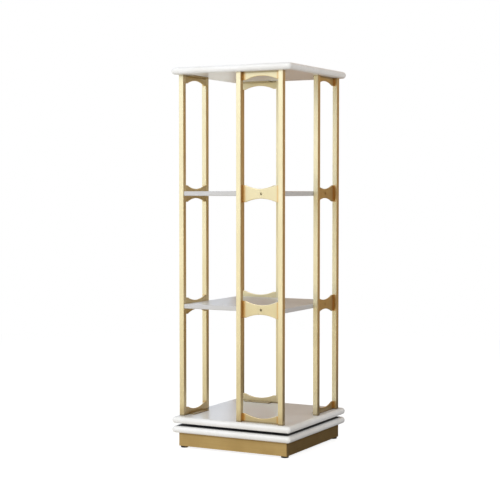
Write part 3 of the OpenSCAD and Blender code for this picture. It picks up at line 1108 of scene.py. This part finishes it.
def floor_white():
    """A floor that is white to the camera where no shadow falls, and warm in reflections."""
    material, tree, shader, place = start_material("floor_white")
    away = axis_distance(tree, place)
    cloud = noise(tree, place, 3, detail=3)
    mirrored = rays(tree, "Is Glossy Ray")
    bounced = rays(tree, "Is Diffuse Ray")
    seen = rays(tree, "Is Camera Ray", "Is Transmission Ray")
    far = stretch(tree, away, *lit_reach, 0.0, 1.0)

    shown = blend(tree, far, blend(tree, cloud, *floor_clouds), (0, 0, 0, 1))
    shown = blend(tree, mirrored, shown, mirrored_floor)
    feed(tree, shader.inputs["Base Color"], blend(tree, bounced, shown, bounced_floor))
    shader.inputs["Roughness"].default_value = 0.9
    shader.inputs["Specular IOR Level"].default_value = 0.0

    warm = blend(tree, stretch(tree, away, *mirror_reach, 0.0, 1.0), near_warmth, far_warmth)
    feed(tree, shader.inputs["Emission Color"], blend(tree, mirrored, (1, 1, 1, 1), warm))
    own_light = calculate(tree, "MULTIPLY_ADD", far, 1.0 - own_level, own_level)
    pool = stretch(tree, away, *pool_reach, pool_level, 0.0)
    mirror_light = calculate(tree, "ADD", stretch(tree, away, *mirror_reach, *mirror_levels), pool)
    lift = calculate(tree, "MULTIPLY", seen, own_light)
    lift = calculate(tree, "MULTIPLY_ADD", mirrored, mirror_light, lift)
    feed(tree, shader.inputs["Emission Strength"], lift)
    return material


bm = bmesh.new()
bmesh.ops.create_circle(bm, cap_ends=True, segments=96, radius=floor_radius)
floor = make_object(bm, "floor", floor_white())
floor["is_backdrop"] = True
print("floor radius:", floor_radius, "m")


# %% World
ambient_level = 0.4
cool_white = (1.05, 1.12, 1.27, 1)
world = bpy.data.worlds.new("studio")
bpy.context.scene.world = world
world.use_nodes = True
tree = world.node_tree
background = tree.nodes["Background"]
shown = blend(tree, rays(tree, "Is Glossy Ray"), (1, 1, 1, 1), cool_white)
feed(tree, background.inputs["Color"], shown)
seen = rays(tree, "Is Camera Ray", "Is Glossy Ray", "Is Transmission Ray")
feed(tree, background.inputs["Strength"], stretch(tree, seen, 0.0, 1.0, ambient_level, 1.0))
print("light from all around:", ambient_level)

# %% [markdown]
# ## Lamps and card
# A large soft lamp high in front on the left is the key, and a weaker one fills from the right.
# Two low, flat lamps, in front and on the right, light the plinth and the lower halves of the
# boards' round edges, and one overhead lights the tops. These three would show as streaks in the
# gold, so reflections don't see them. A dark warm card gives the gold its deep side, as a
# photographer does. It lies on the floor on the right and behind. At its far edge it stands up,
# and there it reaches further round to the front.

# %% Lamps
aim_point = (0, 0, 0.55)


def soft_lamp(name, place, target, size, watts, mirrored=True):
    """A soft lamp that faces a point. Reflections can be kept from seeing it."""
    data = bpy.data.lights.new(name, "AREA")
    data.shape = "RECTANGLE"
    data.size, data.size_y = size
    data.energy = watts
    lamp = bpy.data.objects.new(name, data)
    bpy.context.scene.collection.objects.link(lamp)
    lamp.location = place
    lamp.rotation_euler = (Vector(target) - Vector(place)).to_track_quat("-Z", "Y").to_euler()
    lamp.visible_glossy = mirrored


soft_lamp("key", (-1.0, -4.2, 3.6), aim_point, (2.8, 2.8), 75)
soft_lamp("low_front", (-0.4, -4.0, 0.2), aim_point, (2.6, 0.4), 60, mirrored=False)
soft_lamp("low_right", (3.8, -0.9, 0.2), aim_point, (2.0, 0.4), 18, mirrored=False)
soft_lamp("overhead", (0, -0.3, 4.2), (0, -0.3, 0), (3.0, 3.0), 17, mirrored=False)
soft_lamp("fill", (2.9, -0.3, 2.0), aim_point, (1.6, 1.6), 18)

# %% Dark card
# points of radius and height, and angles in degrees from the right side towards the back
lying_part = [(0.10, 0.002), (0.95, 0.002)]
upright_part = [(1.0, 0.05), (1.0, 2.1)]
upright_from, lying_from, card_end = -76, -42, 123
degrees_per_step = 4
felt_bend = 0.15


def dark_felt():
    """Warm brown felt, nearly black where it lies on the floor."""
    material, tree, shader, place = start_material("dark_felt")
    felt = noise(tree, place, 40, detail=3)
    brown, deep_brown = (0.44, 0.22, 0.04, 1), (0.36, 0.17, 0.03, 1)
    lying_brown = (0.05, 0.035, 0.02, 1)
    upright = stretch(tree, height_of(tree, place), 0.0, felt_bend, 0.0, 1.0)
    ground = blend(tree, upright, lying_brown, blend(tree, felt, brown, deep_brown))
    feed(tree, shader.inputs["Base Color"], ground)
    shader.inputs["Roughness"].default_value = 0.95
    return material


def sweep_profile(bm, profile, first, last):
    """Turns a profile of radius and height round the axis, between two angles in degrees."""
    start = Matrix.Rotation(math.radians(first), 3, "Z")
    points = [bm.verts.new(start @ Vector((radius, 0, height))) for radius, height in profile]
    edges = [bm.edges.new(pair) for pair in zip(points, points[1:])]
    bmesh.ops.spin(
        bm,
        geom=points + edges,
        cent=(0, 0, 0),
        axis=(0, 0, 1),
        dvec=(0, 0, 0),
        angle=math.radians(last - first),
        steps=(last - first) // degrees_per_step,
        use_merge=False,
        use_duplicate=False,
    )


bm = bmesh.new()
sweep_profile(bm, lying_part + upright_part, lying_from, card_end)
sweep_profile(bm, upright_part, upright_from, lying_from)
card = make_object(bm, "dark_card", dark_felt())
# only reflections see the card, so it takes no light from the white boards or the floor
for kind in ("camera", "diffuse", "transmission", "volume_scatter", "shadow"):
    setattr(card, "visible_" + kind, False)
card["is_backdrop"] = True
print("card:", in_millimetres(card.dimensions), "mm")

# %% [markdown]
# ## Finish
# Blender reads shown colours as they are: the plain Standard view keeps every colour that was
# written above. The boxes of the construction and of the dressed model are kept side by side,
# so that a piece that outgrew the construction would be found at once.

# %% Finish
bpy.context.scene.view_settings.view_transform = "Standard"
low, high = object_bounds()
print("construction from", in_millimetres(cad_low), "to", in_millimetres(cad_high))
print("dressed model from", in_millimetres(low), "to", in_millimetres(high))
